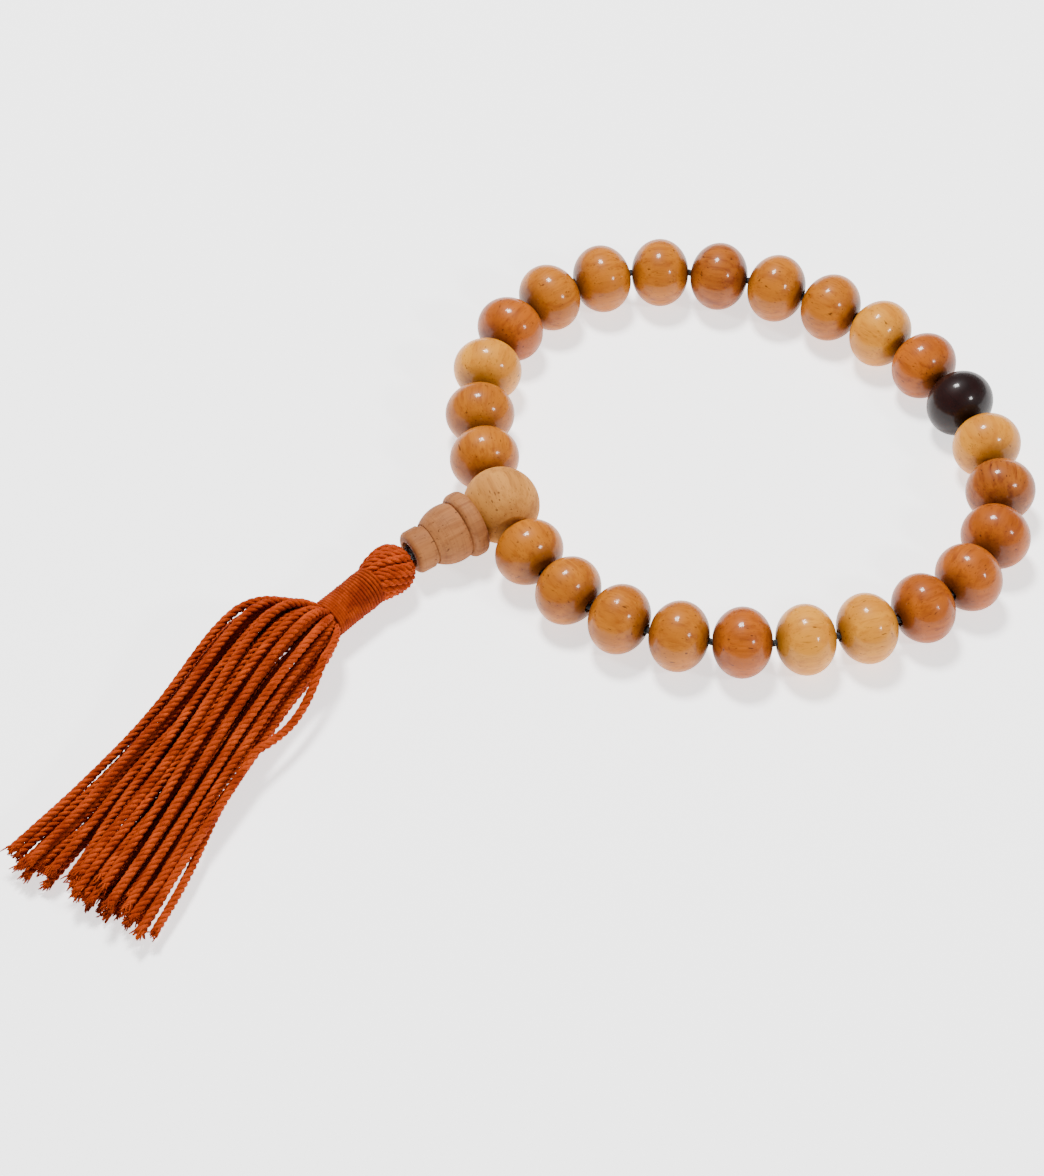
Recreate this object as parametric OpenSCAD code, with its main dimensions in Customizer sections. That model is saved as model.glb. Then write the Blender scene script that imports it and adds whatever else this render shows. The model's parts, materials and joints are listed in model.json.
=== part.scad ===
// Wrist mala: a closed loop of wooden counting beads on a black cord, with one dark marker
// bead opposite the guru bead, and a turned finial and a yarn tassel hanging from the guru.
// It lies flat. Z is up, the guru bead's side bore runs along Y and its tassel bore along -X.
// The origin is under the middle of the whole object, on the surface that it lies on.

/* [Beads] */
// Counting beads on each side, between the guru bead and the marker bead
beads_a_side = 12; // [10:1:12]
// Widest diameter of a counting bead
bead_d = 8.5; // [7:0.25:10]
// Length of a bead along its bore, as a share of its diameter
bead_share = 0.84; // [0.83:0.0025:0.845]
// Room between two beads along the cord
bead_gap = 0.36; // [0.36:0.02:0.8]
// Bore through a counting bead
bead_bore = 1.4; // [1.2:0.1:1.6]

/* [Guru bead] */
// Diameter of the guru bead
guru_d = 9.3; // [9:0.1:11]
// Length of the guru bead between its two flat side faces
guru_len = 8.2; // [7.8:0.1:8.6]
// Half angle that the tassel bore opens to, so that the cord can swing in it
funnel_angle = 16; // [12:1:18]

/* [Finial] */
// Length of the turned finial
finial_len = 9.1; // [8:0.1:11]
// Diameter of its rim, against the guru bead
rim_d = 8.25; // [7.6:0.05:8.8]
// Diameter of its dome
dome_d = 7.35; // [6.8:0.05:7.6]
// Diameter of the waist between dome and collar
waist_d = 5; // [4.6:0.1:5.2]
// Diameter of the collar at the tassel end
collar_d = 5.45; // [5.2:0.05:6]

/* [Cord] */
// Diameter of the black cord
cord_d = 0.9; // [0.6:0.1:0.9]

/* [Tassel] */
// Diameter of the folded head
head_d = 6.4; // [5.8:0.1:7]
// Length of the head up to its binding
head_len = 6.2; // [5:0.1:7]
// Outer diameter of the wound binding
binding_d = 4.9; // [4.8:0.1:5.6]
// Length of the binding
binding_len = 7.8; // [5:0.1:10]
// Length of the loose yarns past the binding
skirt_len = 48; // [35:1:60]
// Width of the skirt half way along
skirt_w = 13; // [10:0.5:16]
// Height of the skirt just past the binding
skirt_h = 8.6; // [7:0.2:10]

/* [Lie] */
// Angle of the finial to the guru bead's tassel bore, seen from above
finial_yaw = 13.6; // [-2:0.2:15]
// Angle of the tassel's head and binding to the finial
tassel_yaw = 13.8; // [0:0.2:20]
// Angle of the skirt to the binding
skirt_yaw = 9.5; // [0:0.5:15]
// Slope of the finial down to the tassel
finial_droop = 3.5; // [2:0.1:4]

/* [Hidden] */
$fn = 64;
bead_len = bead_d * bead_share;
bead_r = bead_d / 2;
guru_r = guru_d / 2;
cord_r = cord_d / 2;
pitch = bead_len + bead_gap;
strung = 2 * beads_a_side + 1;
marker = beads_a_side + 1;

// The cord is straight inside each bead and bends only in the gaps. Link 0 is the stretch in
// the guru bead, link i the stretch in bead i, counted from the guru bead's +Y side.
guru_link = guru_len + bead_gap;
guru_step = guru_r - bead_r;
sloped_link = sqrt(pow(pitch, 2) - pow(guru_step, 2));
links = [for (i = [0:strung]) i == 0 ? guru_link : (i == 1 || i == strung) ? sloped_link : pitch];
function total(list) = [for (item = list) 1] * list;
perimeter = total(links);

// The loop bends evenly but for three soft corners, where it bends more tightly. For each corner:
// how far round the loop from the guru bead it is, and how many degrees tighter each bend is.
corners = [[0.20, 12], [0.65, 13], [0.92, 8]];
corner_spread = 1.9;
function bends_away(i, share) =
    let (d = abs(i - share * (strung + 1))) min(d, abs(strung + 1 - d));
function tighter(i) =
    total([for (c = corners) c[1] * exp(-pow(bends_away(i, c[0]) / corner_spread, 2))]);
even_bend = (360 - total([for (i = [0:strung]) tighter(i)])) / (strung + 1);
drawn = [for (i = 0, heading = 90; i <= strung;
    heading = heading - even_bend - tighter(i + 1), i = i + 1) heading];

// Turns the links a little, over and over, until the last one ends where the first began
closing_rounds = 12;
function open_gap(headings) =
    total([for (i = [0:strung]) links[i] * [cos(headings[i]), sin(headings[i])]]);
function nudged(headings) =
    let (gap = open_gap(headings), gain = 360 / PI / perimeter)
    [for (h = headings) h + gain * (gap.x * sin(h) - gap.y * cos(h))];
function closed(headings, rounds) = rounds == 0 ? headings : closed(nudged(headings), rounds - 1);
settled = closed(drawn, closing_rounds);
headings = [for (h = settled) h - settled[0] + 90];

// Where the cord bends: bends[i] is the start of link i
bends = [for (i = 0, at = [0, -guru_link / 2]; i <= strung;
    at = at + links[i] * [cos(headings[i]), sin(headings[i])], i = i + 1) at];
function bend_z(i) = i % (strung + 1) <= 1 ? guru_r : bead_r;

// The finial and the tassel lie in a chain of straight stretches that starts in the middle of
// the guru bead. flex_at is where the cord bends between the finial and the tassel.
// The finial's end is hollowed and nests over the guru bead, with room to swing about its middle.
guru_room = 0.2;
nest = 0.9;
finial_at = guru_r + guru_room - nest;
finial_heading = 180 + finial_yaw;
tassel_heading = finial_heading + tassel_yaw;
skirt_heading = tassel_heading + skirt_yaw;
flex_run = finial_at + finial_len + 0.1;
flex_at = [0, 0, guru_r] + flex_run * ahead(finial_heading, finial_droop);
function ahead(heading, droop) =
    [cos(heading) * cos(droop), sin(heading) * cos(droop), -sin(droop)];
skirt_at = flex_at + (head_len + binding_len) * ahead(tassel_heading, 0);

// The skirt swings about a point a little way in, which its near end is round about
nose_run = 2.6;
skirt_pivot = skirt_at + nose_run * ahead(tassel_heading, 0);

// The skirt's cross-sections from the binding to the cut ends: distance along, half width,
// half height, sideways shift and height of the middle, each as a share of its own size
skirt_rings = [
    [0.00, 0.14, 0.37, 0.00, 0.88], [0.01, 0.32, 0.56, 0.00, 0.90], [0.03, 0.50, 0.74, -0.02, 0.94],
    [0.07, 0.74, 0.90, -0.07, 0.98], [0.12, 0.86, 0.98, -0.12, 1.00], [0.24, 0.92, 0.98, -0.16, 1.00],
    [0.40, 1.00, 0.90, -0.13, 0.90], [0.60, 1.10, 0.74, -0.07, 0.74], [0.80, 1.28, 0.60, -0.02, 0.60],
    [0.96, 1.45, 0.53, 0.00, 0.53], [1.00, 1.32, 0.46, 0.00, 0.50]];
ring_sides = 24;

// The middle of everything that lies on the surface, which the origin goes under
skirt_tip = skirt_pivot + (skirt_len - nose_run) * ahead(skirt_heading, 0);
tip_reach = skirt_w * skirt_rings[len(skirt_rings) - 2][1] / 2;
bead_middles = [for (i = [1:strung]) (bends[i] + bends[(i + 1) % (strung + 1)]) / 2];
low_x = skirt_tip.x - tip_reach * abs(sin(skirt_heading));
low_y = skirt_tip.y - tip_reach * abs(cos(skirt_heading));
high_x = max([for (m = bead_middles) m.x]) + bead_len / 2;
high_y = max([for (m = bead_middles) m.y]) + bead_len / 2;
origin = [(low_x + high_x) / 2, (low_y + high_y) / 2, 0];

function two_digits(i) = str(i < 10 ? "0" : "", i);
function bead_name(i) = i == marker ? "marker_bead" : str("bead_", two_digits(i));
function cord_name(i) = i == 0 ? "cord_guru" : str("cord_", two_digits(i));

// Puts what lies along X, centred on the origin, on link i of the loop
module on_link(i) {
    start = [bends[i].x, bends[i].y, bend_z(i)];
    after = (i + 1) % (strung + 1);
    end = [bends[after].x, bends[after].y, bend_z(after)];
    run = end - start;
    translate((start + end) / 2 - origin)
        rotate([0, -asin(run.z / norm(run)), headings[i]]) children();
}

// Puts what lies along +X from the guru bead's middle on the finial's axis
module on_finial() {
    translate([0, 0, guru_r] - origin) rotate([0, finial_droop, finial_heading]) children();
}

// Puts what lies along +X from where the cord bends on the tassel's axis
module on_tassel() {
    translate(flex_at - origin) rotate([0, 0, tassel_heading]) children();
}

// A solid of revolution about X: the outline's x is the radius and its y the place along X
module turned() {
    rotate([90, 0, 90]) rotate_extrude() children();
}

module round_cord(length) {
    turned() intersection() {
        union() {
            translate([0, -length / 2 + cord_r]) square([cord_r, length - cord_d]);
            for (side = [-1, 1]) translate([0, side * (length / 2 - cord_r)]) circle(cord_r);
        }
        translate([0, -length / 2]) square([cord_r, length]);
    }
}

// A bead is a barrel: an oval swept round its bore, a little flatter at the ends than a ball
mouth_bevel = 0.2;
end_flat = 0.2;
module bead(tone) {
    barrel_r = bead_len / 2;
    inner_r = bead_bore / 2;
    color(tone) difference() {
        turned() intersection() {
            translate([end_flat, 0]) scale([(bead_r - end_flat) / barrel_r, 1]) circle(barrel_r);
            translate([inner_r, -barrel_r]) square([bead_r, bead_len]);
        }
        for (side = [-1, 1]) rotate([0, side * 90, 0]) translate([0, 0, barrel_r - mouth_bevel])
            cylinder(h = 2 * mouth_bevel, r1 = inner_r, r2 = inner_r + 2 * mouth_bevel);
    }
}

// The cord in link i stops just short of both bends, so that it clears the next link's cord
cord_stop = 0.05;
module link_cord(i) {
    color("black") on_link(i) round_cord((i == 0 ? guru_link : pitch) - 2 * cord_stop);
}

// The guru bead is a ball with two flat faces, where its neighbours sit. Its third bore runs from
// the middle out towards the finial and opens like a funnel.
drop_bore_r = 1.3;
funnel_at = 0.8;
module guru_bead() {
    funnel_run = guru_r - funnel_at;
    funnel_r = drop_bore_r + funnel_run * tan(funnel_angle);
    color("burlywood") translate([0, 0, guru_r] - origin) difference() {
        rotate([90, 0, 0]) rotate_extrude() intersection() {
            circle(guru_r);
            translate([0, -guru_len / 2]) square([guru_r, guru_len]);
        }
        rotate([90, 0, 0]) cylinder(h = guru_d, r = bead_bore / 2, center = true);
        rotate([0, 90, finial_heading]) cylinder(h = guru_d, r = drop_bore_r);
        rotate([0, 90, finial_heading]) translate([0, 0, funnel_at])
            cylinder(h = funnel_run, r1 = drop_bore_r, r2 = funnel_r);
    }
}

rim_len = 2.2;
rim_round = 0.8;
dome_from = 2.6;
dome_to = 0.70 * finial_len;
dome_bow = 4.6;
collar_from = 0.765 * finial_len;
collar_round = 0.7;
mouth_r = 1.65;
mouth_depth = 2.6;
module finial_outline() {
    // rim, with rounded edges
    square([rim_d / 2 - rim_round, rim_len]);
    translate([0, rim_round]) square([rim_d / 2, rim_len - 2 * rim_round]);
    for (y = [rim_round, rim_len - rim_round]) translate([rim_d / 2 - rim_round, y]) circle(rim_round);
    // groove between rim and dome
    square([dome_d / 2 - 0.35, dome_from + 0.5]);
    // dome
    intersection() {
        translate([dome_d / 2 - dome_bow, dome_from + 0.9]) circle(dome_bow);
        translate([0, dome_from]) square([dome_d / 2, dome_to - dome_from]);
    }
    // waist and collar
    square([waist_d / 2, finial_len - collar_round]);
    translate([0, collar_from]) square([collar_d / 2, finial_len - collar_round - collar_from]);
    translate([collar_d / 2 - collar_round, finial_len - collar_round]) circle(collar_round);
    square([collar_d / 2 - collar_round, finial_len]);
}

module finial_bead() {
    color("tan") on_finial() translate([finial_at, 0, 0]) difference() {
        turned() difference() {
            intersection() {
                finial_outline();
                square([rim_d, finial_len]);
            }
            translate([0, -finial_at]) circle(guru_r + guru_room);
        }
        rotate([0, 90, 0]) translate([0, 0, -1]) cylinder(h = finial_len + 2, r = drop_bore_r);
        rotate([0, 90, 0]) translate([0, 0, finial_len - mouth_depth]) cylinder(h = mouth_depth + 1, r = mouth_r);
    }
}

// The cord's two ends turn out of the guru bead side by side and run through the finial. They
// are in two pieces, because the first only swings sideways and the second tilts on it as well.
strand_y = cord_r + 0.04;
turn_from = 0.8;
turn_to = 1.8;
knot_r = 1.1;
knot_back = 0.85;
module cord_pair(from, to) {
    color("black") on_finial() for (side = [-1, 1])
        translate([(from + to) / 2, side * strand_y, 0]) round_cord(to - from);
}

module cord_turn() {
    cord_pair(turn_from, turn_to);
}

module cord_drop() {
    cord_pair(turn_to + 0.1, flex_run - knot_back - knot_r - 0.1);
}

// The knot that both ends are tied in sits in the finial's mouth
module cord_knot() {
    color("black") on_tassel() translate([-knot_back, 0, 0]) sphere(knot_r);
}

// Past the knot the cord makes a loop, which the tassel's yarns are folded over
loop_out = 2.2;
loop_from = knot_r - knot_back + 0.05;
module loop_shape(thick) {
    for (side = [-1, 1]) translate([loop_from, side * strand_y, 0])
        rotate([0, 90, 0]) cylinder(h = loop_out - loop_from, r = thick);
    translate([loop_out, 0, 0]) rotate([0, 0, -90]) rotate_extrude(angle = 180)
        translate([strand_y, 0]) intersection() {
            circle(thick);
            translate([-strand_y, -thick]) square([2 * strand_y, 2 * thick]);
        }
}

module cord_loop() {
    color("black") on_tassel() loop_shape(cord_r);
}

// The room the loop takes in the yarns: the loop's own shape with its middle filled
module loop_slot(thick) {
    loop_shape(thick);
    translate([0, -strand_y, -thick]) cube([loop_out, 2 * strand_y, 2 * thick]);
    for (side = [-1, 1]) translate([0, side * strand_y, 0])
        rotate([0, 90, 0]) cylinder(h = loop_out, r = thick);
    translate([loop_out, 0, -thick]) cylinder(h = 2 * thick, r = strand_y);
}

// The folded yarns: a blunt head, and the core that the binding is wound on
head_from = 0.35;
core_r = binding_d / 2 - 0.6;
module tassel_head() {
    belly = (head_len - head_from) / 2 + 0.3;
    color("chocolate") on_tassel() difference() {
        turned() union() {
            intersection() {
                translate([0, head_from + belly]) scale([head_d / 2 / belly, 1]) circle(belly);
                square([head_d, head_len]);
            }
            translate([0, head_len - 1]) square([core_r, binding_len + 1]);
        }
        loop_slot(cord_r + 0.03);
    }
}

module tassel_binding() {
    soft_edge = 0.3;
    color("sienna") on_tassel() translate([head_len, 0, 0]) turned() difference() {
        union() {
            translate([0, soft_edge]) square([binding_d / 2, binding_len - 2 * soft_edge]);
            square([binding_d / 2 - soft_edge, binding_len]);
            for (y = [soft_edge, binding_len - soft_edge])
                translate([binding_d / 2 - soft_edge, y]) circle(soft_edge);
        }
        translate([0, -1]) square([core_r, binding_len + 2]);
    }
}

// The skirt lies on the surface, so each cross-section is an ellipse cut off flat at the floor
floor_room = 0.05;
nose_gap = 0.15;
module tassel_skirt() {
    sizes = [skirt_len, skirt_w / 2, skirt_h / 2, skirt_w, skirt_h / 2];
    rings = [for (ring = skirt_rings) [for (k = [0:4]) ring[k] * sizes[k]]];
    points = [for (ring = rings) for (k = [0:ring_sides - 1])
        let (a = 360 * k / ring_sides)
        [ring[0], ring[3] + ring[1] * cos(a), max(floor_room, ring[4] + ring[2] * sin(a))]];
    last = len(rings) - 1;
    walls = [for (r = [0:last - 1]) for (k = [0:ring_sides - 1])
        let (next = (k + 1) % ring_sides, a = r * ring_sides, b = a + ring_sides)
        [a + k, b + k, b + next, a + next]];
    caps = [[for (k = [0:ring_sides - 1]) k],
        [for (k = [ring_sides - 1:-1:0]) last * ring_sides + k]];
    color("chocolate") translate([skirt_pivot.x, skirt_pivot.y, 0] - origin)
        rotate([0, 0, skirt_heading]) translate([nose_gap - nose_run, 0, 0])
        polyhedron(points, concat(walls, caps));
}

module strung_bead(i) {
    on_link(i) bead(i == marker ? "maroon" : "peru");
}

for (i = [1:strung]) {
    strung_bead(i);
}
for (i = [0:strung]) {
    link_cord(i);
}
guru_bead();
finial_bead();
cord_turn();
cord_drop();
cord_knot();
cord_loop();
tassel_head();
tassel_binding();
tassel_skirt();
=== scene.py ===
"""A wrist mala on a pale floor: wooden beads on a black cord, a turned finial and a yarn tassel.

Shapes are worked out in millimetres in the row frame, from where the joints of the frame are,
and are turned into metres when a mesh is made.
"""
import json
import math
import random

import bpy
import numpy as np
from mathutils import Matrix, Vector


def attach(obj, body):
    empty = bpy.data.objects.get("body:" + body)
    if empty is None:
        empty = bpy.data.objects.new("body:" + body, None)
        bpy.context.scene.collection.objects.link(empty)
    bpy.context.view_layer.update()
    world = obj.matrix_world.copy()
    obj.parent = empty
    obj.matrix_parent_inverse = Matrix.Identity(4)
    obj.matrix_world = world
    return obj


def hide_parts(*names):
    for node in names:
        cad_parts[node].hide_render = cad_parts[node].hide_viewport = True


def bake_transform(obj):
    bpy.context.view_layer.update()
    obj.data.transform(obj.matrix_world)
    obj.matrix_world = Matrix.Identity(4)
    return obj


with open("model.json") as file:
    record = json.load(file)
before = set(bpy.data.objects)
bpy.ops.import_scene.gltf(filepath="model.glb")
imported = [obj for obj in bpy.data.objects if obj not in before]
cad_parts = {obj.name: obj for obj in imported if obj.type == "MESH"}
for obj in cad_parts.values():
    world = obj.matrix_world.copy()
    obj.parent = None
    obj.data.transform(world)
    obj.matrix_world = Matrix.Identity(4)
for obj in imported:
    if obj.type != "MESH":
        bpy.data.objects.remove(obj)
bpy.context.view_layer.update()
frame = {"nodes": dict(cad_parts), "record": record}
MM = 0.001

# ---------------------------------------------------------------- places, from the frame
JOINTS = {j["name"]: j for j in frame["record"]["behaviour"]["joints"]}
BEADS = 25
MARKER = 13


def joint_at(name):
    return np.array(JOINTS[name]["pos_m"]) / MM


def bead_label(i):
    return "marker" if i == MARKER else f"bead_{i:02d}"


def bead_node(i):
    return "marker_bead" if i == MARKER else f"bead_{i:02d}"


def link_body(i):
    return "guru" if i == 0 else f"link_{i:02d}"


def link_ends(i):
    """Where the cord bends at the start and at the end of link i."""
    if i == 0:
        return joint_at("flex_25"), joint_at("flex_01")
    middle = joint_at(bead_label(i) + "_spin")
    if i <= MARKER:
        start = joint_at(f"flex_{i:02d}")
        return start, 2 * middle - start
    end = joint_at(f"flex_{i:02d}")
    return 2 * middle - end, end


def unit(v):
    return v / np.linalg.norm(v)


def level(degrees):
    a = math.radians(degrees)
    return np.array([math.cos(a), math.sin(a), 0.0])


guru_at = joint_at("finial_yaw")
finial_axis = np.array(JOINTS["finial_spin"]["axis"])
flex_at = joint_at("tassel_yaw")
skirt_pivot = joint_at("skirt_yaw")
tassel_heading = math.degrees(math.atan2(skirt_pivot[1] - flex_at[1], skirt_pivot[0] - flex_at[0]))
NOSE_RUN = 2.6
skirt_at = skirt_pivot - NOSE_RUN * level(tassel_heading)
SKIRT_TURN = 9.5
skirt_heading = tassel_heading + SKIRT_TURN
UP = np.array([0.0, 0.0, 1.0])

# ---------------------------------------------------------------- camera
CAMERA_ELEVATION = 50.1
CAMERA_AZIMUTH = -19.56
CAMERA_DISTANCE = 507.0
CAMERA_LENS = 129.6
AIM_FROM_GURU = np.array([-0.70, -9.43])


def outward(azimuth, elevation):
    """The direction from the object to a viewer who looks along +Y at azimuth 0."""
    a, e = math.radians(azimuth), math.radians(elevation)
    return np.array([math.sin(a) * math.cos(e), -math.cos(a) * math.cos(e), math.sin(e)])


aim = np.array([guru_at[0] + AIM_FROM_GURU[0], guru_at[1] + AIM_FROM_GURU[1], 0.0])


def point_at(obj, place, target):
    obj.location = Vector(place * MM)
    obj.rotation_euler = Vector((target - place) * MM).to_track_quat("-Z", "Y").to_euler()


camera = bpy.data.objects.new("camera", bpy.data.cameras.new("camera"))
camera.data.lens = CAMERA_LENS
camera.data.sensor_width = 36
camera.data.clip_start = 0.01
bpy.context.scene.collection.objects.link(camera)
point_at(camera, aim + CAMERA_DISTANCE * outward(CAMERA_AZIMUTH, CAMERA_ELEVATION), aim)
bpy.context.scene.camera = camera


# ---------------------------------------------------------------- meshes
def transported(path):
    """Unit tangents of a path and two normals that follow it without twisting."""
    tangents = np.gradient(path, axis=0)
    tangents /= np.linalg.norm(tangents, axis=1)[:, None]
    across = np.cross(tangents[0], UP)
    if np.linalg.norm(across) < 0.1:
        across = np.cross(tangents[0], np.array([1.0, 0.0, 0.0]))
    normals = np.zeros_like(path)
    normal = unit(across)
    for k, t in enumerate(tangents):
        normal = unit(normal - t * normal.dot(t))
        normals[k] = normal
    return tangents, normals, np.cross(tangents, normals)


def run_along(path):
    return np.r_[0, np.cumsum(np.linalg.norm(np.diff(path, axis=0), axis=1))]


def evenly(path, step):
    """The path through the same points, resampled on a smooth curve at about this step."""
    ends = np.vstack([2 * path[0] - path[1], path, 2 * path[-1] - path[-2]])
    fine = []
    for k in range(1, len(ends) - 2):
        a, b, c, d = ends[k - 1], ends[k], ends[k + 1], ends[k + 2]
        for t in np.linspace(0, 1, 8, endpoint=False):
            fine.append(
                0.5 * (2 * b + (c - a) * t + (2 * a - 5 * b + 4 * c - d) * t**2 + (3 * b - a - 3 * c + d) * t**3)
            )
    fine.append(path[-1])
    fine = np.array(fine)
    run = run_along(fine)
    count = max(3, int(round(run[-1] / step)) + 1)
    at = np.linspace(0, run[-1], count)
    return np.column_stack([np.interp(at, run, fine[:, k]) for k in range(3)])


class Soup:
    """Collects tubes and makes one mesh object of them."""

    def __init__(self):
        self.points = []
        self.faces = []
        self.count = 0

    def tube(self, path, radius, sides=6):
        radii = np.broadcast_to(radius, len(path))
        _, normals, binormals = transported(path)
        angles = np.arange(sides) * 2 * math.pi / sides
        ring = np.cos(angles)[None, :, None] * normals[:, None] + np.sin(angles)[None, :, None] * binormals[:, None]
        self.points.append((path[:, None] + radii[:, None, None] * ring).reshape(-1, 3))
        for r in range(len(path) - 1):
            a = self.count + r * sides
            for k in range(sides):
                n = (k + 1) % sides
                self.faces.append((a + k, a + n, a + sides + n, a + sides + k))
        last = self.count + (len(path) - 1) * sides
        self.faces.append(tuple(self.count + k for k in reversed(range(sides))))
        self.faces.append(tuple(last + k for k in range(sides)))
        self.count += len(path) * sides

    def plied(self, path, radius, plies=2, lay=2.6, phase=0.0, sides=6, taper=None):
        """A twisted yarn: plies that wind about the path, together this thick."""
        _, normals, binormals = transported(path)
        turn = run_along(path) * 2 * math.pi / lay + phase
        scale = np.ones(len(path)) if taper is None else taper
        ply_r = radius * (0.54 if plies == 2 else 0.50)
        for k in range(plies):
            a = (turn + k * 2 * math.pi / plies)[:, None]
            off = (radius - ply_r) * scale[:, None]
            self.tube(path + off * (np.cos(a) * normals + np.sin(a) * binormals), ply_r * scale, sides)

    def object(self, name, material):
        mesh = bpy.data.meshes.new(name)
        mesh.from_pydata((np.vstack(self.points) * MM).tolist(), [], self.faces)
        mesh.polygons.foreach_set("use_smooth", [True] * len(mesh.polygons))
        mesh.materials.append(material)
        obj = bpy.data.objects.new(name, mesh)
        bpy.context.scene.collection.objects.link(obj)
        return obj


# ---------------------------------------------------------------- materials
class Shader:
    """A principled material whose colour is put together from named layers."""

    def __init__(self, name, **constant):
        self.material = bpy.data.materials.new(name)
        self.material.use_nodes = True
        self.tree = self.material.node_tree
        self.surface = self.tree.nodes["Principled BSDF"]
        for socket, value in constant.items():
            self.surface.inputs[socket.replace("_", " ")].default_value = value

    def node(self, kind, inputs=None, **settings):
        made = self.tree.nodes.new(kind)
        for key, value in settings.items():
            setattr(made, key, value)
        for key, value in (inputs or {}).items():
            if isinstance(value, bpy.types.NodeSocket):
                self.tree.links.new(value, made.inputs[key])
            else:
                made.inputs[key].default_value = value
        return made

    def place(self, centre, heading, stretch=(1, 1, 1)):
        """Millimetres from centre, with X along the heading, stretched for the texture."""
        spot = self.node("ShaderNodeTexCoord").outputs["Object"]
        turned = self.node(
            "ShaderNodeMapping",
            {
                "Vector": spot,
                "Location": tuple(centre * MM),
                "Rotation": (0, 0, math.radians(heading)),
                "Scale": (MM, MM, MM),
            },
            vector_type="TEXTURE",
        ).outputs[0]
        return turned, self.stretched(turned, stretch)

    def stretched(self, vector, stretch):
        return self.node("ShaderNodeMapping", {"Vector": vector, "Scale": stretch}).outputs[0]

    def noise(self, vector, scale, seed, detail=3.0, distortion=0.0):
        return self.node(
            "ShaderNodeTexNoise",
            {"Vector": vector, "W": seed, "Scale": scale, "Detail": detail, "Distortion": distortion},
            noise_dimensions="4D",
        ).outputs[0]

    def ramp(self, value, low, high):
        return self.node(
            "ShaderNodeMapRange", {"Value": value, "From Min": low, "From Max": high}
        ).outputs[0]

    def times(self, value, factor):
        return self.node("ShaderNodeMath", {0: value, 1: factor}, operation="MULTIPLY").outputs[0]

    def mix(self, under, over, factor):
        made = self.node("ShaderNodeMix", {"Factor": factor}, data_type="RGBA")
        for socket, colour in (("A", under), ("B", over)):
            target = [s for s in made.inputs if s.name == socket and s.type == "RGBA"][0]
            if isinstance(colour, bpy.types.NodeSocket):
                self.tree.links.new(colour, target)
            else:
                target.default_value = (*colour, 1)
        return [s for s in made.outputs if s.type == "RGBA"][0]

    def colour(self, socket):
        self.tree.links.new(socket, self.surface.inputs["Base Color"])

    def bump(self, height, strength, distance_mm):
        made = self.node(
            "ShaderNodeBump", {"Height": height, "Strength": strength, "Distance": distance_mm * MM}
        )
        self.tree.links.new(made.outputs[0], self.surface.inputs["Normal"])


def wood(name, centre, heading, light, dark, seed, streaks, **surface):
    """Wood with its grain along the bore: broad tone, streaks and short dark flecks."""
    s = Shader(name, **surface)
    mm, broad_place = s.place(centre, heading, (0.35, 1, 1))
    broad = s.ramp(s.noise(broad_place, 0.32, seed, 2), 0.35, 0.65)
    tone = s.mix(light, dark, s.times(broad, 0.55))
    grain = s.noise(s.stretched(mm, (0.10, 1, 1)), 1.5, seed + 3, 4, 0.4)
    tone = s.mix(tone, dark, s.times(s.ramp(grain, 0.48, 0.70), streaks))
    fine = s.noise(s.stretched(mm, (0.12, 1, 1)), 5.0, seed + 7, 3)
    tone = s.mix(tone, [c * 0.45 for c in dark], s.times(s.ramp(fine, 0.56, 0.72), 0.55))
    fleck = s.noise(s.stretched(mm, (0.30, 1, 1)), 3.4, seed + 11, 1)
    tone = s.mix(tone, [c * 0.22 for c in dark], s.times(s.ramp(fleck, 0.68, 0.73), 0.8))
    s.colour(tone)
    return s, mm, tone, fine


def lacquer_with_painted_end_shade(i, light, dark, streaks):
    axis = np.array(JOINTS[bead_label(i) + "_spin"]["axis"])
    heading = math.degrees(math.atan2(axis[1], axis[0]))
    centre = joint_at(bead_label(i) + "_spin")
    s, mm, tone, fine = wood(
        f"wood_{bead_label(i)}", centre, heading, light, dark, 1.7 * i, streaks,
        Roughness=0.50, Specular_IOR_Level=0.12, Coat_Weight=0.30, Coat_Roughness=0.13,
    )
    # painted shade: the colour darkens towards both ends of the bore, where the beads meet
    along = s.node("ShaderNodeSeparateXYZ", {0: mm}).outputs[0]
    away = s.node("ShaderNodeMath", {0: along}, operation="ABSOLUTE").outputs[0]
    s.colour(s.mix(tone, [c * 0.30 for c in dark], s.times(s.ramp(away, 2.2, 3.6), 0.80)))
    s.bump(fine, 0.10, 0.05)
    return s.material


HONEY = ((0.46, 0.142, 0.0050), (0.24, 0.052, 0.0012))
PALE = ((0.66, 0.265, 0.0160), (0.42, 0.128, 0.0050))
ORANGE = ((0.40, 0.094, 0.0030), (0.20, 0.034, 0.0008))
REDDISH = ((0.38, 0.102, 0.0060), (0.16, 0.028, 0.0018))
TONES = {3: PALE, 11: PALE, 14: PALE, 19: PALE, 20: PALE, 4: ORANGE, 12: ORANGE, 16: ORANGE,
         17: ORANGE, 18: ORANGE, 21: ORANGE, 8: REDDISH, 15: REDDISH}
MAROON = ((0.013, 0.0015, 0.0012), (0.004, 0.0006, 0.0005))

for i in range(1, BEADS + 1):
    light, dark = MAROON if i == MARKER else TONES.get(i, HONEY)
    streaks = 0.95 if TONES.get(i) is REDDISH else 0.7
    finish = lacquer_with_painted_end_shade(i, light, dark, streaks)
    node = frame["nodes"][bead_node(i)]
    node.data.materials.clear()
    node.data.materials.append(finish)


def bare_guru():
    s, _, tone, fine = wood(
        "wood_guru", guru_at, 90.0, (0.54, 0.225, 0.040), (0.30, 0.105, 0.016), 41.0, 0.7,
        Roughness=0.75, Specular_IOR_Level=0.2,
    )
    s.bump(fine, 0.25, 0.06)
    return s.material


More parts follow.
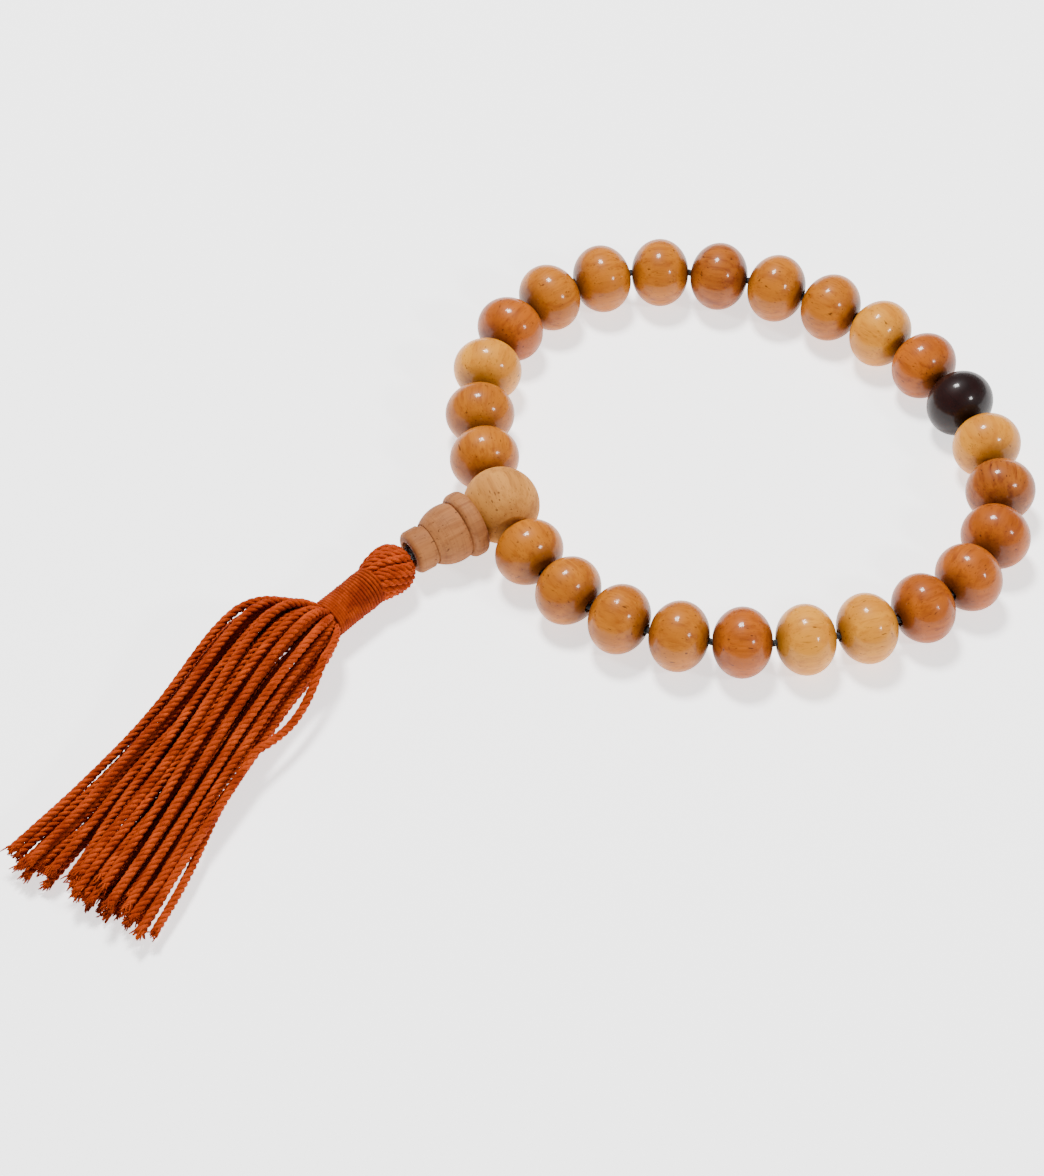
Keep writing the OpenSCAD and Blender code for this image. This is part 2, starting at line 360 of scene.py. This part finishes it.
def bare_finial():
    heading = math.degrees(math.atan2(finial_axis[1], finial_axis[0]))
    s, mm, tone, fine = wood(
        "wood_finial", guru_at + 8 * finial_axis, heading, (0.36, 0.135, 0.038), (0.19, 0.058, 0.014), 57.0, 0.75,
        Roughness=0.68, Specular_IOR_Level=0.2,
    )
    # marks of the turning tool run round the axis
    marks = s.noise(s.stretched(mm, (6.0, 0.15, 0.15)), 1.0, 61.0, 2)
    s.colour(s.mix(tone, (0.14, 0.05, 0.018), s.times(s.ramp(marks, 0.50, 0.72), 0.35)))
    s.bump(marks, 0.30, 0.06)
    return s.material


for name, finish in (("guru_bead", bare_guru()), ("finial_bead", bare_finial())):
    node = frame["nodes"][name]
    node.data.materials.clear()
    node.data.materials.append(finish)


def black_cord():
    s = Shader("black_cord", Roughness=0.75)
    mm, spot = s.place(guru_at, 0.0)
    s.colour(s.mix((0.010, 0.009, 0.010), (0.035, 0.032, 0.034), s.noise(spot, 6.0, 5.0, 2)))
    return s.material


def rust_yarn(name, seed, shade=1.0):
    s = Shader(name, Roughness=0.85, Specular_IOR_Level=0.08)
    mm, spot = s.place(skirt_at, skirt_heading, (0.5, 1, 1))
    tone = s.mix(
        [c * shade for c in (0.23, 0.021, 0.0020)],
        [c * shade for c in (0.44, 0.056, 0.0050)],
        s.ramp(s.noise(spot, 0.8, seed, 3), 0.35, 0.68),
    )
    fibre = s.noise(s.stretched(mm, (1.2, 5, 5)), 1.4, seed + 2, 3)
    tone = s.mix(tone, [c * shade for c in (0.07, 0.006, 0.0010)], s.times(s.ramp(fibre, 0.50, 0.72), 0.6))
    s.colour(tone)
    s.bump(fibre, 0.35, 0.08)
    return s.material


CORD = black_cord()
YARN = rust_yarn("rust_yarn", 3.0)
BINDING = rust_yarn("rust_binding", 9.0, 0.80)

# ---------------------------------------------------------------- the stringing cord
CORD_R = 0.45
CORD_LAY = 1.9


OPEN_GAP = MARKER + 1


def strand(name, route, seed):
    soup = Soup()
    soup.plied(evenly(np.array(route), 0.16), CORD_R, 3, CORD_LAY, seed * 1.1)
    return soup.object(name, CORD)


def string_cord(gap):
    """The cord from the middle of one bead to the middle of the next, over the gap between."""
    before, after = (gap - 1) % (BEADS + 1), gap % (BEADS + 1)
    a, bend = link_ends(before)
    _, b = link_ends(after)
    a = (a + bend) / 2
    b = (bend + b) / 2
    corner = 0.5
    into, out = unit(bend - a), unit(b - bend)
    first = [a, (a + bend) / 2, bend - corner * into]
    second = [bend + corner * out, (bend + b) / 2, b]
    name = "cord_guru" if after == 0 else f"cord_{after:02d}"
    if gap == OPEN_GAP:
        # no joint is here, so each half keeps to its own link and they meet in the gap
        for half, body in ((first + [bend], before), ([bend] + second, after)):
            obj = strand("strand_" + link_body(body) + "_end", half, gap)
            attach(obj, link_body(body))
    else:
        obj = strand("strand_" + name, first + second, gap)
        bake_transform(obj)
    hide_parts(name)


for gap in range(1, BEADS + 2):
    string_cord(gap)

STRAND_Y = CORD_R + 0.04
finial_side = unit(np.cross(UP, finial_axis))
drop_end = np.linalg.norm(flex_at - guru_at) - 2.05
drop = Soup()
for side in (-1, 1):
    route = [guru_at + x * finial_axis + side * STRAND_Y * finial_side for x in np.linspace(0.8, drop_end, 8)]
    drop.plied(evenly(np.array(route), 0.16), CORD_R, 3, CORD_LAY, side)
drop_cord = drop.object("strand_drop", CORD)
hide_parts("cord_turn", "cord_drop")
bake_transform(drop_cord)

# ---------------------------------------------------------------- tassel
tassel_axis = level(tassel_heading)
tassel_side = np.cross(UP, tassel_axis)


def on_tassel(x, y, z):
    return flex_at + x * tassel_axis + y * tassel_side + z * UP


# the knot, a trefoil pulled tight in the finial's mouth
KNOT_BACK = 0.85
knot = Soup()
turns = np.linspace(0, 2 * math.pi, 90, endpoint=False)
knot_line = np.array([
    on_tassel(
        -KNOT_BACK + 0.62 * -math.sin(3 * t) * 0.7,
        0.27 * (math.sin(t) + 2 * math.sin(2 * t)),
        0.27 * (math.cos(t) - 2 * math.cos(2 * t)),
    )
    for t in turns
])
knot.plied(np.vstack([knot_line, knot_line[:1]]), 0.36, 3, 1.6)
knot_obj = knot.object("knot", CORD)
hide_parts("cord_knot")
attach(knot_obj, "tassel_knot")

LOOP_OUT = 2.2
loop = Soup()
bow = [on_tassel(LOOP_OUT + STRAND_Y * math.sin(a), -STRAND_Y * math.cos(a), 0) for a in np.linspace(0, math.pi, 9)]
route = [on_tassel(0.6, -STRAND_Y, 0), on_tassel(1.4, -STRAND_Y, 0)] + bow
route += [on_tassel(1.4, STRAND_Y, 0), on_tassel(0.6, STRAND_Y, 0)]
loop.plied(evenly(np.array(route), 0.14), CORD_R * 0.9, 3, CORD_LAY)
loop_obj = loop.object("loop", CORD)
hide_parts("cord_loop")
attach(loop_obj, "tassel")

YARN_R = 0.56
YARN_LAY = 2.7
YARN_PLIES = 3
HEAD_R = 3.2
HEAD_FROM = 0.35
HEAD_LEN = 6.2
BINDING_R = 2.45
BINDING_LEN = 7.8
HEAD_YARNS = 16

head_radius = np.array([
    [0.00, 0.20], [0.05, 0.52], [0.12, 0.76], [0.24, 0.94], [0.38, 1.00],
    [0.58, 0.97], [0.78, 0.88], [0.90, 0.79], [1.00, 0.68],
])


def head_line(angle, twist, depth):
    """A yarn folded over the loop, running back to the binding with a slant."""
    line = []
    for share in np.linspace(0, 1, 12):
        r = (HEAD_R - YARN_R) * np.interp(share, head_radius[:, 0], head_radius[:, 1]) * depth
        a = angle + twist * share
        line.append(on_tassel(HEAD_FROM + 0.45 + share * (HEAD_LEN - HEAD_FROM), r * math.cos(a), r * math.sin(a)))
    return evenly(np.array(line), 0.22)


rng = random.Random(8)
head = Soup()
for k in range(HEAD_YARNS):
    angle = 2 * math.pi * k / HEAD_YARNS + rng.uniform(-0.06, 0.06)
    line = head_line(angle, 1.15 + rng.uniform(-0.12, 0.12), 1 - rng.uniform(0, 0.04))
    taper = np.interp(np.linspace(0, 1, len(line)), [0, 0.25, 0.8, 1], [0.55, 1.0, 1.0, 0.85])
    head.plied(line, YARN_R, YARN_PLIES, YARN_LAY, rng.uniform(0, 6), taper=taper)
for k in range(7):
    head.plied(head_line(2 * math.pi * k / 7, 0.6, 0.55), YARN_R * 1.1, 2, YARN_LAY, rng.uniform(0, 6))
head_obj = head.object("head_yarns", YARN)
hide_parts("tassel_head")
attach(head_obj, "tassel")

# the binding: one thread wound round and round, with a core of yarns under it
THREAD_R = 0.23
THREAD_PITCH = 0.40
binding = Soup()
turn_count = (BINDING_LEN - 2 * THREAD_R) / THREAD_PITCH
winding = []
steps = int(turn_count * 40)
wander = [rng.uniform(-1, 1) for _ in range(int(turn_count) + 3)]
for k in range(steps + 1):
    a = 2 * math.pi * turn_count * k / steps
    n = a / (2 * math.pi)
    w = np.interp(n, range(len(wander)), wander)
    slant = 0.45 * math.sin(a + 0.6) * math.sin(math.pi * k / steps)
    r = BINDING_R - THREAD_R + 0.06 * w
    winding.append(on_tassel(HEAD_LEN + THREAD_R + THREAD_PITCH * n + slant + 0.06 * w, r * math.cos(a), r * math.sin(a)))
binding.tube(np.array(winding), THREAD_R, 6)
core = np.array([on_tassel(x, 0, 0) for x in np.linspace(HEAD_LEN - 0.6, HEAD_LEN + BINDING_LEN + 0.4, 12)])
binding.tube(core, BINDING_R - 0.50, 20)
binding_obj = binding.object("binding_thread", BINDING)
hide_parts("tassel_binding")
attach(binding_obj, "tassel")

# the skirt: plied yarns that spread from the binding and settle on the floor
SKIRT_YARNS = 46
STATIONS = 26
SKIRT_LEN = 46.8
skirt_axis = level(skirt_heading)
skirt_side = np.cross(UP, skirt_axis)
skirt_from = skirt_pivot - NOSE_RUN * skirt_axis
spread = np.array([
    # share, half width, half height, sideways shift, height of the middle
    [0.00, 1.5, 1.5, 0.0, 3.8], [0.02, 3.0, 2.7, -0.3, 4.0], [0.045, 4.9, 4.0, -0.9, 4.7],
    [0.08, 6.3, 4.6, -1.4, 5.2], [0.14, 7.0, 4.7, -1.8, 5.3], [0.25, 7.1, 4.3, -2.0, 4.9],
    [0.42, 7.2, 3.6, -1.6, 4.1], [0.62, 7.8, 2.9, -0.9, 3.5], [0.82, 8.6, 2.3, -0.3, 2.9],
    [1.00, 9.4, 1.9, 0.0, 2.5],
])


def skirt_layout():
    """Where each yarn runs in the skirt: settled so that no two lie in one another."""
    draw = np.random.default_rng(12)
    shares = np.linspace(0, 1, STATIONS) ** 1.25
    half_w, half_h, shift, z_mid = (np.interp(shares, spread[:, 0], spread[:, k]) for k in (1, 2, 3, 4))
    k = np.arange(SKIRT_YARNS)
    disc_r = np.sqrt((k + 0.5) / SKIRT_YARNS)
    disc_a = k * math.pi * (3 - math.sqrt(5))
    u, v = disc_r * np.cos(disc_a), disc_r * np.sin(disc_a)
    wander_a = draw.uniform(-1, 1, (SKIRT_YARNS, 4))
    phase = draw.uniform(0, 2 * math.pi, (SKIRT_YARNS, 4))
    y = u[:, None] * half_w + shift
    z = v[:, None] * half_h + z_mid
    for n in range(4):
        wave = np.sin((n + 1) * 1.4 * shares * math.pi + phase[:, n:n + 1])
        y += wander_a[:, n:n + 1] * 1.0 / (n + 1) * wave * shares
    # a crease parts a group on the far side near the cut ends
    y += np.where(u[:, None] < -0.30, -1.7, 0.35) * np.clip(shares - 0.45, 0, 1) * 2
    target_y, target_z = y.copy(), z.copy()
    wide = np.interp(shares, [0, 0.03, 0.07], [0.60, 0.8, 1.0]) * 2 * YARN_R * 0.97
    for _ in range(90):
        dy = y[:, None] - y[None]
        dz = z[:, None] - z[None]
        gap = np.sqrt(dy**2 + dz**2) + np.eye(SKIRT_YARNS)[:, :, None] * 9
        push = np.clip(wide - gap, 0, None) * 0.25 / gap
        y += (push * dy).sum(1)
        z += (push * dz).sum(1)
        y += (target_y - y) * 0.06
        z += (target_z - z) * 0.05 - 0.015 * shares
        y[:, 1:-1] += 0.12 * ((y[:, :-2] + y[:, 2:]) / 2 - y[:, 1:-1])
        z[:, 1:-1] += 0.12 * ((z[:, :-2] + z[:, 2:]) / 2 - z[:, 1:-1])
        z = np.maximum(z, YARN_R + 0.02)
    return shares, y, z, draw


shares, spread_y, spread_z, draw = skirt_layout()
# one stray yarn bows out on the near side, clear of the rest
outer = int(np.argmax(spread_y[:, 8] - 0.3 * spread_z[:, 8]))
bulge = np.sin(np.clip((shares - 0.14) / 0.30, 0, 1) * math.pi)
spread_y[outer] += 1.1 * bulge
spread_z[outer] = np.maximum(YARN_R + 0.02, spread_z[outer] - 1.5 * bulge)
order = np.argsort(-spread_z[:, 8])

for place, k in enumerate(order):
    length = SKIRT_LEN * draw.uniform(0.95, 1.02)
    points = [
        skirt_from * [1, 1, 0] + length * s * skirt_axis + spread_y[k, n] * skirt_side + spread_z[k, n] * UP
        for n, s in enumerate(shares)
    ]
    lead = skirt_at + UP * (spread_z[k, 0] - skirt_at[2]) + spread_y[k, 0] * skirt_side - 0.9 * tassel_axis
    line = evenly(np.array([lead] + points), 0.30)
    yarn = Soup()
    taper = np.interp(np.linspace(0, 1, len(line)), [0, 0.03, 0.10, 1], [0.72, 0.8, 1.0, 1.0])
    yarn.plied(line, YARN_R, YARN_PLIES, YARN_LAY * draw.uniform(0.9, 1.1), draw.uniform(0, 6), taper=taper)
    # the cut end frays into single fibres
    tip, way = line[-1], unit(line[-1] - line[-4])
    for _ in range(16):
        lean = draw.normal(0, 0.34, 3)
        root = tip - 0.5 * way + draw.normal(0, 0.20, 3)
        end = root + draw.uniform(0.7, 1.35) * unit(way + lean)
        end[2] = max(end[2], 0.06)
        root[2] = max(root[2], 0.06)
        yarn.tube(np.array([root, (root + end) / 2 + lean * 0.1, end]), np.array([0.12, 0.11, 0.07]), 4)
    obj = yarn.object(f"skirt_yarn_{place:02d}", YARN)
    if place == 0:
        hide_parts("tassel_skirt")
    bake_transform(obj)

# ---------------------------------------------------------------- stage and light
floor_mesh = bpy.data.meshes.new("floor")
FLOOR = 3.0
FLOOR_GLOW = 1.5
floor_mesh.from_pydata([(-FLOOR, -FLOOR, 0), (FLOOR, -FLOOR, 0), (FLOOR, FLOOR, 0), (-FLOOR, FLOOR, 0)], [], [(0, 1, 2, 3)])
floor = bpy.data.objects.new("floor", floor_mesh)
bpy.context.scene.collection.objects.link(floor)
floor_finish = Shader("floor", Roughness=0.9, Specular_IOR_Level=0.1)
floor_finish.surface.inputs["Base Color"].default_value = (0.95, 0.95, 0.95, 1)
floor_finish.surface.inputs["Emission Color"].default_value = (1, 1, 1, 1)
floor_finish.surface.inputs["Emission Strength"].default_value = FLOOR_GLOW
floor_mesh.materials.append(floor_finish.material)

world = bpy.data.worlds.new("studio")
world.use_nodes = True
world.node_tree.nodes["Background"].inputs[0].default_value = (1, 1, 1, 1)
world.node_tree.nodes["Background"].inputs[1].default_value = 0.28
bpy.context.scene.world = world


def softbox(name, azimuth, elevation, distance, size, power):
    """A square lamp: azimuth is to the right of the camera."""
    lamp = bpy.data.objects.new(name, bpy.data.lights.new(name, "AREA"))
    lamp.data.size = size
    lamp.data.energy = power
    bpy.context.scene.collection.objects.link(lamp)
    middle = np.array([0.0, 0.0, 0.0])
    point_at(lamp, middle + distance * outward(CAMERA_AZIMUTH + azimuth, elevation), middle)


softbox("key", 200, 70, 800.0, 0.17, 12.5)
softbox("side", 58, 34, 700.0, 0.08, 2.4)
